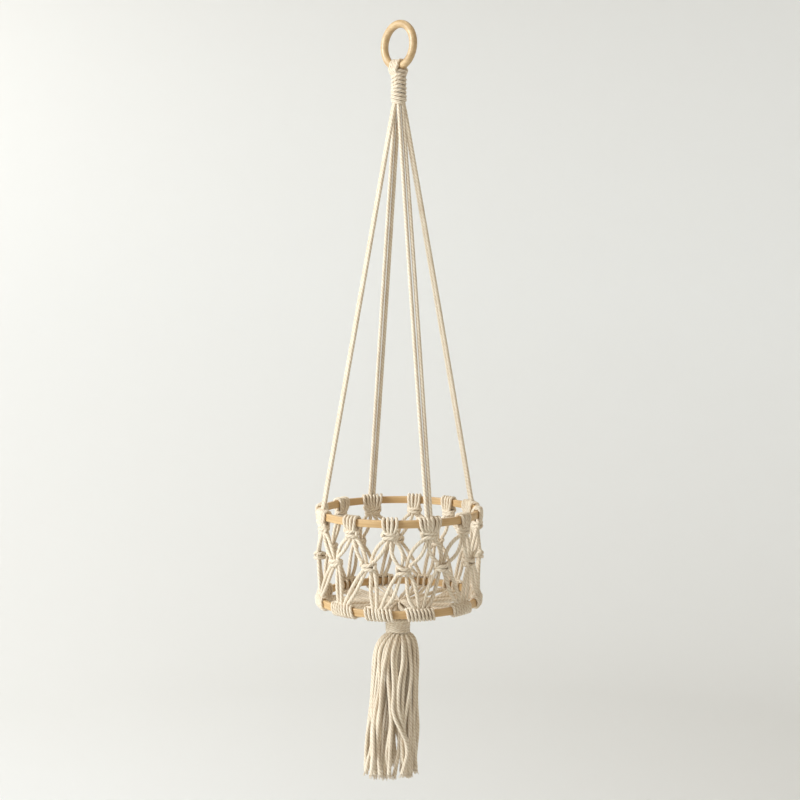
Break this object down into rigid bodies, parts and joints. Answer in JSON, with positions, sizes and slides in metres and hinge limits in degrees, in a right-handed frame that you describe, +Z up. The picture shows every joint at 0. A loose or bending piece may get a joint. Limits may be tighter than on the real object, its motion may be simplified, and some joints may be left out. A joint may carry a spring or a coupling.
{
  "type": "hanging macrame planter",
  "caption": "Hanging plant holder of knotted cotton cord: a wooden ring, legs, an open net basket held between two flat hoops, and a long tassel under it.",
  "frame": {"origin": "the inside top of the wooden ring, where a hook carries the planter", "axes": "+Z up; -Y towards the viewer, the front; +X to the viewer's right"},
  "size_m": [0.2088, 0.2086, 0.9215],
  "materials": {
    "ring_wood": "sanded, lightly waxed",
    "hoop_bamboo": "satin",
    "cotton_cord": "matt"
  },
  "bodies": {
    "ring": {"wooden_ring": "ring_wood"},
    "loops": {"hanger_loop": "cotton_cord"},
    "gathering": {"top_wrap": "cotton_cord"},
    "upper_basket": {"leg_front_left_1": "cotton_cord", "leg_front_left_2": "cotton_cord", "leg_front_right_1": "cotton_cord", "leg_front_right_2": "cotton_cord", "leg_back_right_1": "cotton_cord", "leg_back_right_2": "cotton_cord", "leg_back_left_1": "cotton_cord", "leg_back_left_2": "cotton_cord", "upper_hoop": "hoop_bamboo", "upper_knot_01": "cotton_cord", "upper_knot_02": "cotton_cord", "upper_knot_03": "cotton_cord", "upper_knot_04": "cotton_cord", "upper_knot_05": "cotton_cord", "upper_knot_06": "cotton_cord", "upper_knot_07": "cotton_cord", "upper_knot_08": "cotton_cord", "upper_knot_09": "cotton_cord", "upper_knot_10": "cotton_cord", "upper_knot_11": "cotton_cord", "upper_knot_12": "cotton_cord", "net_panel_01": "cotton_cord", "net_panel_02": "cotton_cord", "net_panel_03": "cotton_cord", "net_panel_04": "cotton_cord", "net_panel_05": "cotton_cord", "net_panel_06": "cotton_cord", "net_panel_07": "cotton_cord", "net_panel_08": "cotton_cord", "net_panel_09": "cotton_cord", "net_panel_10": "cotton_cord", "net_panel_11": "cotton_cord", "net_panel_12": "cotton_cord"},
    "lower_basket": {"lower_hoop": "hoop_bamboo", "base_web": "cotton_cord", "lower_knot_01": "cotton_cord", "lower_knot_02": "cotton_cord", "lower_knot_03": "cotton_cord", "lower_knot_04": "cotton_cord", "lower_knot_05": "cotton_cord", "lower_knot_06": "cotton_cord", "lower_knot_07": "cotton_cord", "lower_knot_08": "cotton_cord", "lower_knot_09": "cotton_cord", "lower_knot_10": "cotton_cord", "lower_knot_11": "cotton_cord", "lower_knot_12": "cotton_cord"},
    "tassel_root": {"tassel_root": "cotton_cord"},
    "tassel": {"tassel_neck": "cotton_cord", "tassel_skirt": "cotton_cord"}
  },
  "joints": [
    {"name": "slide_round_ring", "type": "hinge", "parent": "ring", "child": "loops", "pos_m": [0, 0, -0.0205], "axis": [0.7314, 0.682, 0], "range_deg": [-40, 40]},
    {"name": "swing_across_ring", "type": "hinge", "parent": "loops", "child": "gathering", "pos_m": [0, 0, -0.04575], "axis": [0.682, -0.7314, 0], "range_deg": [-45, 45]},
    {"name": "hanger_twist", "type": "hinge", "parent": "gathering", "child": "upper_basket", "pos_m": [0, 0, -0.096], "axis": [0, 0, 1], "range_deg": [-90, 90], "stiffness_Nm_per_rad": 0.004},
    {"name": "basket_fold", "type": "slide", "parent": "upper_basket", "child": "lower_basket", "axis": [0, 0, 1], "range_m": [0, 0.06], "deforming": ["net_panel_01", "net_panel_02", "net_panel_03", "net_panel_04", "net_panel_05", "net_panel_06", "net_panel_07", "net_panel_08", "net_panel_09", "net_panel_10", "net_panel_11", "net_panel_12"]},
    {"name": "tassel_rock", "type": "hinge", "parent": "lower_basket", "child": "tassel_root", "pos_m": [0, 0, -0.7075], "axis": [1, 0, 0], "range_deg": [-30, 30]},
    {"name": "tassel_sway", "type": "hinge", "parent": "tassel_root", "child": "tassel", "pos_m": [0, 0, -0.7075], "axis": [0, 1, 0], "range_deg": [-30, 30]}
  ]
}
